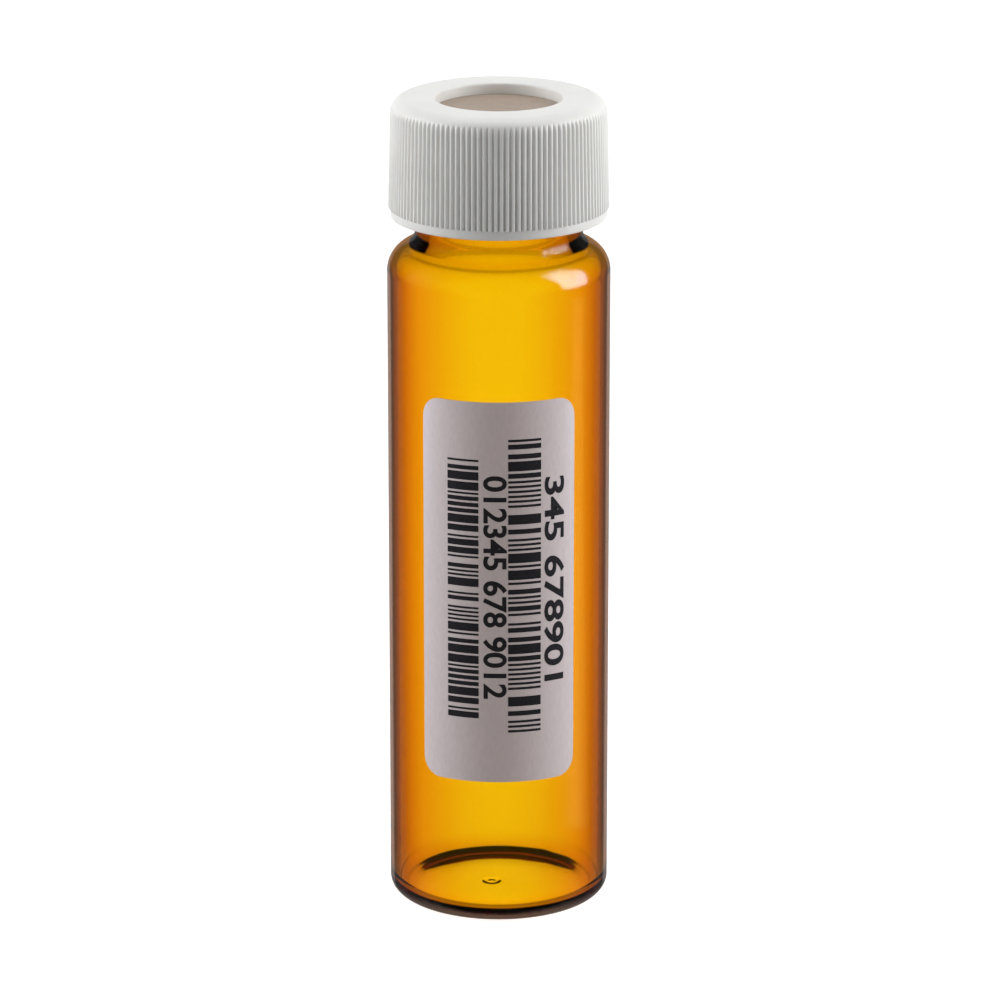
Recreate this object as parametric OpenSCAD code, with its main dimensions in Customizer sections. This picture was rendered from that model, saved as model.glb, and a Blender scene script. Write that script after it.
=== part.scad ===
// Glass sample vial with a ribbed open-top screw cap, a flat septum and a stuck-on label.
// Millimetres, +Z up. The vial stands on z = 0, its axis is the Z axis and its label faces -Y.

/* [Glass vial] */
// Outside diameter of the body
vial_od = 27.5; // [23:0.5:33]
// Height of the glass, from the standing ring to the sealing rim
vial_h = 98; // [85:1:140]
// Thickness of the body wall
wall_t = 1.2; // [0.8:0.1:1.6]
// Thickness of the base at its middle
base_t = 0.65; // [0.5:0.05:3]
// Outside radius of the heel, between the wall and the standing ring
heel_r = 1.8; // [1:0.1:3]
// Radius of the inside corner between the wall and the floor
floor_corner_r = 1.6; // [0.8:0.1:4]
// Slope of the bowl-shaped floor where it runs into that corner, in degrees
floor_rise = 11; // [2:1:20]
// Width of the flat standing ring
foot_w = 1; // [0.5:0.1:3]
// Height of the push-up in the middle of the base
push_up = 0.2; // [0.1:0.05:1]
// Radius between the wall and the sloping shoulder
shoulder_r = 3.6; // [1.5:0.1:5]
// Slope of the shoulder, in degrees from the horizontal
shoulder_slope = 24; // [10:1:45]
// Diameter of the small round mark under the base
mark_d = 2.4; // [1:0.1:4]
// Distance of that mark from the axis
mark_offset = 0.9; // [0:0.1:3]
// Height of that mark below the push-up
mark_h = 0.15; // [0.05:0.05:0.5]

/* [Neck and thread] */
// Diameter of the neck between the turns of thread
neck_d = 20.7; // [17:0.1:25]
// Thickness of the neck wall
neck_wall_t = 2.1; // [1.5:0.1:3]
// Height of the neck, from its foot to the sealing rim
neck_h = 12.2; // [10:0.1:16]
// Radius of the hollow at the foot of the neck
neck_foot_r = 1.6; // [0.4:0.1:2.5]
// Radius of the lip inside, where the shoulder turns into the bore of the neck
lip_r = 3; // [0.5:0.1:4]
// Rounding of the sealing rim's edges
rim_r = 0.5; // [0.2:0.1:0.8]
// Axial distance from one turn of the thread to the next
thread_pitch = 3.175; // [2.8:0.025:4]
// How far the glass thread stands out from the neck
thread_h = 1.3; // [0.8:0.05:1.5]
// Width of the glass thread at its root
thread_root_w = 2.1; // [1.4:0.1:2.2]
// Width of the glass thread at its crest
thread_crest_w = 0.8; // [0.4:0.1:1]
// Turns of thread on the glass
thread_turns = 1.6; // [1:0.1:2]
// Distance from the rim down to the upper end of the glass thread
thread_drop = 2.3; // [1.8:0.1:3]

/* [Screw cap] */
// Height of the cap
cap_h = 14.8; // [13:0.1:17]
// Thickness of the cap's top
cap_top_t = 1.4; // [1:0.1:3]
// Diameter of the sampling hole in the cap's top
cap_hole_d = 15.6; // [10:0.1:17]
// Rounding of the sampling hole's upper edge
hole_edge_r = 0.3; // [0.1:0.1:0.6]
// Wall of the skirt, from its bore to the bottom of the grip grooves
cap_wall_t = 1.05; // [0.8:0.05:2]
// Number of grip ribs
rib_count = 120; // [60:1:140]
// Height of the ribs just above the plain band
rib_h_low = 0.58; // [0.3:0.02:0.8]
// Height of the ribs at the cap's shoulder
rib_h_high = 0.3; // [0.2:0.02:0.6]
// Height of the plain band round the foot of the skirt
band_h = 1.2; // [0.6:0.1:3]
// How far the plain band stands out from the bottom of the grooves
band_proud = 0.33; // [0.1:0.01:0.5]
// Radius of the cap's shoulder
cap_shoulder_r = 1.9; // [1:0.1:2.4]
// Turns of thread inside the cap
cap_thread_turns = 1.5; // [1:0.1:1.8]
// Width of the cap's thread at its crest
cap_thread_crest_w = 0.6; // [0.4:0.1:0.8]

/* [Septum] */
// Thickness of the septum
septum_t = 3.2; // [1.5:0.1:4]

/* [Label] */
// Height of the label
label_h = 48.9; // [20:0.1:60]
// Width of the label, measured round the glass
label_w = 20.2; // [10:0.1:60]
// Thickness of the label
label_t = 0.1; // [0.05:0.05:0.3]
// Radius of the label's corners
label_corner_r = 2.5; // [0.5:0.1:4]
// Distance from the bottom of the vial up to the label
label_z = 18.85; // [4:0.05:30]

/* [Clearances] */
// Radial gap between the crest of the glass thread and the bore of the cap
crest_gap = 0.3; // [0.2:0.05:0.6]
// Radial gap between the crest of the cap's thread and the neck
cap_crest_gap = 0.4; // [0.2:0.05:0.6]
// Gap between the two threads on the side that carries the load
flank_gap = 0.15; // [0.1:0.01:0.3]
// Radial gap between the septum and its seat in the cap
septum_gap = 0.15; // [0.05:0.05:0.3]

/* [Hidden] */
$fn = 96;

// Facets along one turn of thread, and angle over which each end of a thread rises from its wall
thread_steps = 40;
run_out = 40;
// How deep the root of a thread is sunk into the wall that carries it
thread_sink = 0.4;
// Steps of a rounded corner in a profile
arc_steps = 8;
// How far a cutter runs past the face that it opens
past = 1;

body_r = vial_od / 2;
inner_r = body_r - wall_t;
neck_r = neck_d / 2;
neck_bore_r = neck_r - neck_wall_t;
neck_foot_z = vial_h - neck_h;
crest_r = neck_r + thread_h;
foot_out_r = body_r - heel_r;
foot_in_r = foot_out_r - foot_w;
floor_r = inner_r - floor_corner_r * (1 - sin(floor_rise));
floor_bowl = tan(floor_rise) * floor_r / 4;
floor_edge_z = push_up + base_t + floor_bowl;

// The shoulder is a cone between two rounds. Where the step from body to neck is too small for them,
// both rounds shrink alike and leave cone_share of the step to the cone. Inside, the lip gives way.
cone_share = 0.1;
shoulder_turn = 90 - shoulder_slope;
round_room = (1 - cone_share) * (body_r - neck_r) / (1 - cos(shoulder_turn));
round_fit = min(1, round_room / (shoulder_r + neck_foot_r));
shoulder_round = shoulder_r * round_fit;
foot_round = neck_foot_r * round_fit;
inner_round = max(shoulder_round - wall_t, 0.1);
lip_room = (1 - cone_share) * (inner_r - neck_bore_r) / (1 - cos(shoulder_turn)) - inner_round;
lip_round = min(lip_r, lip_room);
// Where the cone of the outside would meet the axis
cone_tip_z = neck_foot_z - foot_round * sin(shoulder_turn)
    + (neck_r + foot_round * (1 - cos(shoulder_turn))) * tan(shoulder_slope);

cap_bore_r = crest_r + crest_gap;
groove_r = cap_bore_r + cap_wall_t;
cap_top_z = vial_h + septum_t + cap_top_t;
cap_foot_z = cap_top_z - cap_h;
seat_z = vial_h + septum_t;
// The seat of the septum is narrower than the bore, and a cone joins the two
seat_step = 0.8;
seat_r = cap_bore_r - seat_step;
seat_cone_z = vial_h - 0.3;
septum_r = seat_r - septum_gap;
rib_foot_z = cap_foot_z + band_h;
// The outline's crests stand this much past the form that trims them to their draft
crest_trim = 0.05;
// Chamfers at the mouth and at the outer edge of the skirt
mouth_chamfer = 0.4;
band_chamfer = 0.25;

glass_thread_z = vial_h - thread_drop - thread_turns * thread_pitch;
// The cap's thread lies half a turn below the glass thread, and is raised until only flank_gap is left
flank_slope = (thread_root_w - thread_crest_w) / 2 / thread_h;
cap_crest_r = neck_r + cap_crest_gap;
cap_ridge_h = cap_bore_r - cap_crest_r;
cap_thread_root_w = cap_thread_crest_w + 2 * flank_slope * cap_ridge_h;
space_half_w = thread_pitch / 2 - thread_root_w / 2 + flank_slope * cap_crest_gap;
cap_thread_lift = space_half_w - cap_thread_crest_w / 2 - flank_gap * sqrt(1 + pow(flank_slope, 2));
cap_thread_phase_z = glass_thread_z - thread_pitch / 2 + cap_thread_lift;
// Where the cap's thread begins, counted round from the start of the glass thread
cap_thread_low_z = cap_foot_z + mouth_chamfer + cap_thread_root_w / 2 + 0.4;
cap_thread_start = (cap_thread_low_z - cap_thread_phase_z) * 360 / thread_pitch;

label_r = body_r + label_t;
label_angle = label_w / label_r * 180 / PI;
// The corner arcs stand this much past the label's edges, so that they cross them cleanly
corner_cross = 0.03;
corner_inset = label_corner_r - corner_cross;
corner_angle = asin(corner_inset / label_r);

// Points of an arc round centre c, from angle a to angle b
function arc(c, r, a, b, steps = arc_steps) =
    [for (i = [0 : steps]) let (t = a + (b - a) * i / steps) [c[0] + r * cos(t), c[1] + r * sin(t)]];

// Height of the shoulder's cone at a radius, and at a depth below its outer face
function cone_z(radius, depth) = cone_tip_z - radius * tan(shoulder_slope) - depth / cos(shoulder_slope);

// The shoulder from a wall at wall_r up to a neck or bore at neck_side_r, with its two rounds
function shoulder(wall_r, wall_round, neck_side_r, neck_round, depth) =
    let (
        wall_x = wall_r - wall_round,
        wall_z = cone_z(wall_x + wall_round * cos(shoulder_turn), depth) - wall_round * sin(shoulder_turn),
        neck_x = neck_side_r + neck_round,
        neck_z = cone_z(neck_x - neck_round * cos(shoulder_turn), depth) + neck_round * sin(shoulder_turn)
    )
    concat(
        arc([wall_x, wall_z], wall_round, 0, shoulder_turn, 12),
        arc([neck_x, neck_z], neck_round, 180 + shoulder_turn, 180)
    );

// A shallow dome of the given height, from the axis out to radius r: level in the middle, steepest
// at its edge, where its slope is four times height / r
function dome(r, z, height) =
    [for (i = [0 : arc_steps]) let (x = r * i / arc_steps) [x, z + height * (1 - pow(x / r, 4))]];

// All points but the first, for an outline that goes on from the point before it
function rest(points) = [for (i = [1 : len(points) - 1]) points[i]];
function reversed(points) = [for (i = [len(points) - 1 : -1 : 0]) points[i]];

// Height of a thread at an angle: zero below the wall at both ends, 1 along its full part
function rise_at(angle, last) =
    let (u = min(angle, last - angle) / run_out)
    u >= 1 ? 1 : -0.1 + 1.1 * (1 - cos(180 * u)) / 2;

// Section of a thread as [radius, height] pairs. way is 1 outwards from a neck, -1 inwards from a bore.
// Its flanks start below the wall and end at a rounded crest, a fifth of the height from the top.
function thread_section(wall_r, h, root_w, crest_w, way, rise) =
    let (
        slope = (root_w - crest_w) / 2 / h,
        brow = (h + thread_sink) / 5,
        sunk_r = wall_r - way * thread_sink,
        top_r = wall_r + way * h * rise,
        brow_r = sunk_r + (top_r - sunk_r) * 4 / 5,
        sunk_w = root_w / 2 + slope * thread_sink,
        brow_w = crest_w / 2 + slope * brow
    )
    [
        [sunk_r, -sunk_w], [brow_r, -brow_w], [top_r, -crest_w / 4],
        [top_r, crest_w / 4], [brow_r, brow_w], [sunk_r, sunk_w]
    ];

// One helical ridge, right-handed, that starts at angle from
module thread(wall_r, h, root_w, crest_w, way, z, from, turns) {
    last = turns * 360;
    rings = ceil(turns * thread_steps);
    sides = 6;
    points = [
        for (i = [0 : rings])
            let (a = last * i / rings)
            for (p = thread_section(wall_r, h, root_w, crest_w, way, rise_at(a, last)))
                [p[0] * cos(from + a), p[0] * sin(from + a), z + thread_pitch * a / 360 + p[1]]
    ];
    walls = [
        for (i = [0 : rings - 1])
            for (k = [0 : sides - 1])
                let (m = (k + 1) % sides, low = i * sides, high = low + sides)
                each [[low + k, high + k, high + m], [low + k, high + m, low + m]]
    ];
    ends = [[for (k = [0 : sides - 1]) k], [for (k = [sides - 1 : -1 : 0]) rings * sides + k]];
    faces = concat(walls, ends);
    polyhedron(points, way < 0 ? faces : [for (f = faces) reversed(f)]);
}

// The glass: one revolved section for body, shoulder, neck and rim, with the thread run round the neck
module glass_vial() {
    outside = concat(
        arc([foot_out_r, heel_r], heel_r, -90, 0),
        shoulder(body_r, shoulder_round, neck_r, foot_round, 0),
        arc([neck_r - rim_r, vial_h - rim_r], rim_r, 0, 90, 4)
    );
    corner_c = [inner_r - floor_corner_r, floor_edge_z + floor_corner_r * cos(floor_rise)];
    inside = concat(
        dome(floor_r, floor_edge_z, -floor_bowl),
        rest(arc(corner_c, floor_corner_r, floor_rise - 90, 0)),
        shoulder(inner_r, inner_round, neck_bore_r, lip_round, wall_t),
        arc([neck_bore_r + rim_r, vial_h - rim_r], rim_r, 180, 90, 4)
    );
    color("orange", 0.6) {
        rotate_extrude() polygon(concat(dome(foot_in_r, 0, push_up), outside, reversed(inside)));
        thread(neck_r, thread_h, thread_root_w, thread_crest_w, 1, glass_thread_z, 0, thread_turns);
        base_mark();
    }
}

// The small round mark left of the middle of the base, inside the push-up
module base_mark() {
    reach = push_up * (1 - pow((mark_offset + mark_d / 2) / foot_in_r, 4));
    mark_z = max(reach - mark_h, push_up / 5);
    translate([-mark_offset, 0, mark_z]) cylinder(d = mark_d, h = push_up + base_t / 2 - mark_z);
}

// The label: a thin sector of a ring round the glass, with round corners
module label() {
    color("gainsboro")
        rotate([0, 0, -90 - label_angle / 2])
            difference() {
                rotate_extrude(angle = label_angle)
                    translate([body_r, label_z]) square([label_t, label_h]);
                for (side = [0, 1])
                    for (end = [0, 1])
                        label_corner(side, end);
            }
}

// Cuts away what lies outside the arc of one corner, along the radius through that arc's centre
module label_corner(side, end) {
    turn = side ? label_angle - corner_angle : corner_angle;
    z = end ? label_z + label_h - corner_inset : label_z + corner_inset;
    size = label_corner_r + past;
    translate([0, 0, z]) rotate([0, 0, turn]) rotate([0, 90, 0])
        translate([0, 0, body_r - past])
            difference() {
                translate([end ? -size : 0, side ? 0 : -size, 0]) cube([size, size, 2 * past + label_t]);
                translate([0, 0, -past]) cylinder(r = label_corner_r, h = 4 * past + label_t);
            }
}

// The septum: a flat disc that lies on the rim, under the top of the cap
module septum() {
    color("tan") translate([0, 0, vial_h]) cylinder(r = septum_r, h = septum_t);
}

// Outline of the ribs: round crests with narrow valleys between them
module rib_outline() {
    rib_steps = 6;
    polygon([
        for (i = [0 : rib_count * rib_steps - 1])
            let (
                a = 360 * i / (rib_count * rib_steps),
                r = groove_r + (rib_h_low + crest_trim) * pow(sin(180 * (i % rib_steps) / rib_steps), 0.7)
            )
            [r * cos(a), r * sin(a)]
    ]);
}

// The form that the ribs fill: drafted, with a rounded shoulder that the grooves run out into
module rib_envelope() {
    high_r = groove_r + rib_h_high;
    rotate_extrude()
        polygon(concat(
            [[0, rib_foot_z], [groove_r + rib_h_low, rib_foot_z]],
            arc([high_r - cap_shoulder_r, cap_top_z - cap_shoulder_r], cap_shoulder_r, 0, 90),
            [[0, cap_top_z]]
        ));
}

// The inside of the cap: mouth, bore, cone, septum seat and sampling hole
module cap_hollow() {
    hole_r = cap_hole_d / 2;
    rotate_extrude()
        polygon(concat(
            [
                [0, cap_foot_z - past], [cap_bore_r + mouth_chamfer, cap_foot_z - past],
                [cap_bore_r + mouth_chamfer, cap_foot_z], [cap_bore_r, cap_foot_z + mouth_chamfer],
                [cap_bore_r, seat_cone_z - seat_step], [seat_r, seat_cone_z],
                [seat_r, seat_z], [hole_r, seat_z]
            ],
            arc([hole_r + hole_edge_r, cap_top_z - hole_edge_r], hole_edge_r, 180, 90, 4),
            [[hole_r + hole_edge_r, cap_top_z + past], [0, cap_top_z + past]]
        ));
}

// The cap: ribbed skirt with a plain band, an open top and a thread inside
module screw_cap() {
    band_r = groove_r + band_proud;
    color("white") {
        difference() {
            union() {
                intersection() {
                    translate([0, 0, rib_foot_z]) linear_extrude(cap_h) rib_outline();
                    rib_envelope();
                }
                translate([0, 0, cap_foot_z + band_chamfer])
                    cylinder(r = band_r, h = band_h - band_chamfer);
                translate([0, 0, cap_foot_z])
                    cylinder(r1 = band_r - band_chamfer, r2 = band_r, h = band_chamfer);
            }
            cap_hollow();
        }
        thread(
            cap_bore_r, cap_ridge_h, cap_thread_root_w, cap_thread_crest_w, -1,
            cap_thread_low_z, cap_thread_start, cap_thread_turns
        );
    }
}

glass_vial();
label();
septum();
screw_cap();
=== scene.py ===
"""Looks of a glass sample vial: amber glass, white ribbed cap, beige septum and a printed label.

Every size is in metres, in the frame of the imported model: +Z up, the vial's axis is Z and its label faces -Y.
"""

import math
from typing import NamedTuple

import bmesh
import bpy
from bpy.props import FloatProperty, FloatVectorProperty, IntProperty, PointerProperty, StringProperty
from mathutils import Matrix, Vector


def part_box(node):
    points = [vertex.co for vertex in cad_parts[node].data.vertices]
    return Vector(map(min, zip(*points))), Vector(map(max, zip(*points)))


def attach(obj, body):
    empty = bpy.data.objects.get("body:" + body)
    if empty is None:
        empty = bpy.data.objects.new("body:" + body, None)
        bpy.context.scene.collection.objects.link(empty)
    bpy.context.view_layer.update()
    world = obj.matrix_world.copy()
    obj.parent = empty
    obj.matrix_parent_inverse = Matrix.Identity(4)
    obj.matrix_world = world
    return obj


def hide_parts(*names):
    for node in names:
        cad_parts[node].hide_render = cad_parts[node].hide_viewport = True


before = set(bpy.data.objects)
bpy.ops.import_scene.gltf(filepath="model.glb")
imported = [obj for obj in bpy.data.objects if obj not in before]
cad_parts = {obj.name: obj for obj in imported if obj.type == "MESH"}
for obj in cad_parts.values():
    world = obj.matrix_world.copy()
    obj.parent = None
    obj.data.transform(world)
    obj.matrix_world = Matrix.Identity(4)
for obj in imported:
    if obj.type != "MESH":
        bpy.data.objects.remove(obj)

bl_info = {
    "name": "Glass Sample Vial",
    "version": (1, 0, 0),
    "blender": (4, 5, 0),
    "location": "View3D > Sidebar > Vial",
    "description": "Builds the glass, cap, septum and label of a sample vial round its frame",
    "category": "Add Mesh",
}

MM = 0.001
TURN = 2 * math.pi
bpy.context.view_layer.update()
GLASS_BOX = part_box("glass_vial")
CAP_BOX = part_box("screw_cap")
SEPTUM_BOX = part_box("septum")
LABEL_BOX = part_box("label")

WHITE = (1, 1, 1, 1)
BLACK = (0, 0, 0, 1)
# Points nearer than this are the same
SAME_PLACE = 1e-7

# Mesh attributes: how much of the painted edge shade a point of the glass has, and how much of the heel's gloss
SHADED_OUTER_SKIN = "shaded_outer_skin"
HEEL_SKIN = "heel_skin"
# Painted shade in the outer skin's colour, which darkens the glass towards its edges,
# from seen square on (0) to seen edge on (1)
EDGE_SHADE = [
    (0.05, (1.0, 1.0, 1.0)), (0.17, (0.95, 0.80, 0.5)), (0.32, (0.92, 0.63, 0.4)),
    (0.43, (0.80, 0.45, 0.3)), (0.51, (0.65, 0.32, 0.2)), (0.58, (0.57, 0.28, 0.2)),
    (0.62, (0.59, 0.28, 0.2)), (0.66, (0.43, 0.22, 0.15)), (0.70, (0.25, 0.15, 0.1)),
    (0.76, (0.22, 0.15, 0.1)), (0.81, (0.55, 0.39, 0.28)), (1.0, (0.6, 0.45, 0.3)),
]
# Share of light that the skin mirrors, by the same measure, and what the heel adds to it in its own colour
EDGE_GLOSS = [
    (0.0, 0.003), (0.5, 0.004), (0.60, 0.018), (0.74, 0.024), (0.785, 0.12), (0.9, 0.16), (1.0, 0.3),
]
HEEL_GLOSS = [(0.15, 0.0), (0.35, 0.12), (0.55, 0.09), (1.0, 0.09)]
HEEL_HUE = [(0.3, (1.0, 0.48, 0.12)), (0.55, (1.0, 0.7, 0.42)), (0.75, (1.0, 0.93, 0.88))]
# The painted edge shade falls by this share on the heel, and by as much on the upper shoulder. There the fall
# starts this far below the neck's foot, and takes this height.
EDGE_SHADE_FALL = 0.5
FALL_DEPTH = 5 * MM
FALL_HEIGHT = 3 * MM
# How high the heel's fall of painted edge shade and its gloss end, in heel radii above the foot
HEEL_SHADE_END = 1.4
HEEL_GLOSS_END = 1.15
GLASS_IOR = 1.5
# Painted shade: light that leaves the glass after turning back in it sees the floor and surround darker by the
# first share, and by the second too when it has passed through several walls. Then they show this colour.
TURNED_SHADE = 0.55
DEEP_SHADE = 0.26
TURNED_SHADE_HUE = (1.0, 0.27, 0.35)
# Painted shade and light on the floor as glass shows it: how far from the axis it is dimmed, and how far it is
# lifted under the base
NEAR_SHADE_REACH = 120 * MM
BASE_LIGHT_REACH = 12 * MM


class PrintColumn(NamedTuple):
    """A column of print. Its left side is measured round the glass from the label's middle.

    Its top and bottom are measured down from the label's top.
    """

    left: float
    width: float
    top: float
    bottom: float


LEFT_BARS = PrintColumn(-6.50 * MM, 4.00 * MM, 7.3 * MM, 40.6 * MM)
RIGHT_BARS = PrintColumn(1.15 * MM, 4.15 * MM, 4.7 * MM, 42.4 * MM)
FIRST_ROW = PrintColumn(-1.95 * MM, 3.90 * MM, 9.3 * MM, 38.0 * MM)
SECOND_ROW = PrintColumn(5.75 * MM, 3.70 * MM, 9.8 * MM, 36.1 * MM)
# How much the numbers' strokes grow outwards, as a share of their height
BOLDNESS = 0.022
# How far the film stays off the glass, and how far the print's back is sunk in the film
CLEAR = 0.008 * MM
SUNK = 0.01 * MM


def length(name, text, value):
    """A size in metres that the user may change."""
    return FloatProperty(name=name, description=text, default=value, min=0, unit="LENGTH", precision=5)


def tilt(name, text, degrees):
    """An angle that the user may change."""
    return FloatProperty(name=name, description=text, default=math.radians(degrees), subtype="ANGLE")


def amount(name, text, value, least=0):
    """A plain number that the user may change."""
    return FloatProperty(name=name, description=text, default=value, min=least)


def tint(name, text, value):
    """A colour that the user may change."""
    return FloatVectorProperty(
        name=name, description=text, default=value, subtype="COLOR", size=len(value), min=0, max=1
    )


class VialGlassSettings(bpy.types.PropertyGroup):
    """Sizes and colours of the glass"""

    wall: length("Wall", "Thickness of the body wall", 1.2 * MM)
    base: length("Base", "Thickness of the base at its middle", 0.65 * MM)
    heel: length("Heel radius", "Outside radius between the wall and the standing ring", 1.8 * MM)
    floor_corner: length("Floor corner", "Radius of the inside corner at the floor", 1.6 * MM)
    floor_rise: tilt("Floor rise", "Slope of the floor where it meets its corner", 11)
    foot: length("Standing ring", "Width of the flat ring that the vial stands on", 1.0 * MM)
    push_up: length("Push-up", "Height of the hollow under the base", 0.2 * MM)
    mark_diameter: length("Mark diameter", "Diameter of the round mark under the base", 2.4 * MM)
    mark_offset: length("Mark offset", "Distance of that mark from the axis", 0.9 * MM)
    mark_height: length("Mark height", "How far that mark stands out", 0.19 * MM)
    shoulder: length("Shoulder radius", "Outside radius between the wall and the shoulder", 3.6 * MM)
    slope: tilt("Shoulder slope", "Slope of the shoulder", 24)
    neck_diameter: length("Neck diameter", "Diameter of the neck between the turns of thread", 20.7 * MM)
    neck_wall: length("Neck wall", "Thickness of the neck wall", 2.1 * MM)
    neck_height: length("Neck height", "Height of the neck, from its foot to the rim", 12.2 * MM)
    neck_foot: length("Neck foot radius", "Radius of the hollow at the foot of the neck", 1.6 * MM)
    lip: length("Inner lip radius", "Rounding between the shoulder and the bore", 3.0 * MM)
    rim: length("Rim radius", "Rounding of the rim's edges", 0.5 * MM)
    pitch: length("Thread pitch", "Axial distance from one turn to the next", 3.175 * MM)
    thread_height: length("Thread height", "How far the thread stands out from the neck", 1.3 * MM)
    thread_root: length("Thread root width", "Width of the thread where it meets the neck", 2.1 * MM)
    thread_crest: length("Thread crest width", "Width of the thread at its crest", 0.8 * MM)
    thread_drop: length("Thread drop", "Distance from the rim down to the thread's upper end", 2.3 * MM)
    thread_turns: amount("Thread turns", "Turns of thread on the neck", 1.6, 1)
    amber: tint("Amber", "Colour that the glass leaves in light that goes through", (0.975, 0.907, 0.0))
    depth: amount("Absorption", "How fast the glass colours the light, per metre", 3600)


class VialCapSettings(bpy.types.PropertyGroup):
    """Sizes and colours of the screw cap"""

    hole_diameter: length("Hole diameter", "Diameter of the open top", 15.6 * MM)
    hole_edge: length("Hole edge", "Rounding of the hole's upper edge", 0.3 * MM)
    skirt_wall: length("Skirt wall", "Wall of the skirt below the grooves", 1.05 * MM)
    crest_gap: length("Crest gap", "Gap between the glass thread and the bore", 0.3 * MM)
    cap_crest_gap: length("Cap thread gap", "Gap between the cap's thread and the neck", 0.4 * MM)
    flank_gap: length("Flank gap", "Gap between the two threads on the loaded side", 0.15 * MM)
    rib_low: length("Rib height, low", "Height of the ribs above the band", 0.58 * MM)
    rib_high: length("Rib height, high", "Height of the ribs at the shoulder", 0.3 * MM)
    band: length("Band height", "Height of the plain band", 1.2 * MM)
    band_proud: length("Band proud", "How far the band stands out from the grooves", 0.33 * MM)
    shoulder: length("Shoulder radius", "Radius of the cap's shoulder", 1.9 * MM)
    thread_crest: length("Cap thread crest", "Width of the cap's thread at its crest", 0.6 * MM)
    seat_step: length("Seat step", "How much narrower the septum seat is than the bore", 0.8 * MM)
    ribs: IntProperty(name="Ribs", description="Number of grip ribs", default=120, min=12)
    thread_turns: amount("Thread turns", "Turns of thread in the cap", 1.5, 1)
    white: tint("White", "Colour of the moulding", (0.87, 0.87, 0.85))


class VialSeptumSettings(bpy.types.PropertyGroup):
    """Size and colours of the septum"""

    edge: length("Edge rounding", "Rounding of the disc's edges", 0.12 * MM)
    beige: tint("Beige", "Colour of the disc", (0.365, 0.285, 0.223))


class VialLabelSettings(bpy.types.PropertyGroup):
    """Sizes, colours and wording of the label"""

    corner: length("Corner radius", "Radius of the label's corners", 2.5 * MM)
    ink_thickness: length("Ink thickness", "How far the print stands out from the film", 0.015 * MM)
    film: tint("Film", "Colour of the label's film", (0.535, 0.43, 0.405))
    ink: tint("Ink", "Colour of the print", (0.012, 0.011, 0.012))
    first_row: StringProperty(
        name="First row", description="Numbers between the bars", default="012345 678 9012"
    )
    second_row: StringProperty(name="Second row", description="Numbers on the right", default="345 678901")


class VialStageSettings(bpy.types.PropertyGroup):
    """Camera, lamps and floor"""

    camera_back: length("Camera distance", "Distance of the camera from the axis, along the floor", 0.6308)
    camera_up: length("Camera height", "Height of the camera above the floor", 0.24406)
    camera_tilt: tilt("Camera tilt", "How far the camera looks down", 17)
    camera_lens: amount("Lens", "Focal length in millimetres", 190.44, 1)
    camera_aside: length("Camera aside", "How far the camera stands right of the axis", 0.15 * MM)
    sky: amount("Sky", "Strength of the even light all round", 0.16)
    left_power: amount("Left lamp", "Power of the left lamp in watts", 3.2)
    right_power: amount("Right lamp", "Power of the right lamp in watts", 3.5)
    top_power: amount("Top lamp", "Power of the top lamp in watts", 1.5)
    label_power: amount("Label lamps", "Power of each of the two lamps beside the label in watts", 1.2)
    strip: amount("Strip", "Radiance of the strip mirrored in the wall", 1.0)
    glint: amount("Glint", "Radiance of the lamp mirrored in the shoulder", 130)
    floor: tint("Floor", "Colour of the floor", (0.42, 0.42, 0.42))
    floor_glow: amount("Floor lift", "How much the seen floor is lifted", 0.92)
    floor_glow_glass: amount("Floor lift in glass", "How much it is lifted where glass shows it", 1.19)
    # Painted light: a pool of extra lift on the floor under the base, as glass shows it
    floor_base_light: amount("Floor lift under the base", "How much more it is lifted under the vial", 0.27)
    # Painted shade: the floor as glass shows it is dimmed near the vial
    floor_near_shade: amount("Floor dip", "How much less it is lifted in glass close to the vial", 0.17)


# ---------------------------------------------------------------- lines and surfaces


def arc(centre, radius, start, end, steps):
    """Points of an arc in the section plane, angles in degrees."""
    angles = [math.radians(start + (end - start) * i / steps) for i in range(steps + 1)]
    return [(centre[0] + radius * math.cos(a), centre[1] + radius * math.sin(a)) for a in angles]


def spaced(start, end, steps):
    """Even steps from one number to another, without the first."""
    return [start + (end - start) * i / steps for i in range(1, steps + 1)]


def line(start, end, steps):
    """Even steps from one point to another, without the first."""
    return list(zip(spaced(start[0], end[0], steps), spaced(start[1], end[1], steps)))


def smooth(value):
    """Eases 0 to 1 with level ends."""
    value = min(1.0, max(0.0, value))
    return value * value * (3 - 2 * value)


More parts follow.
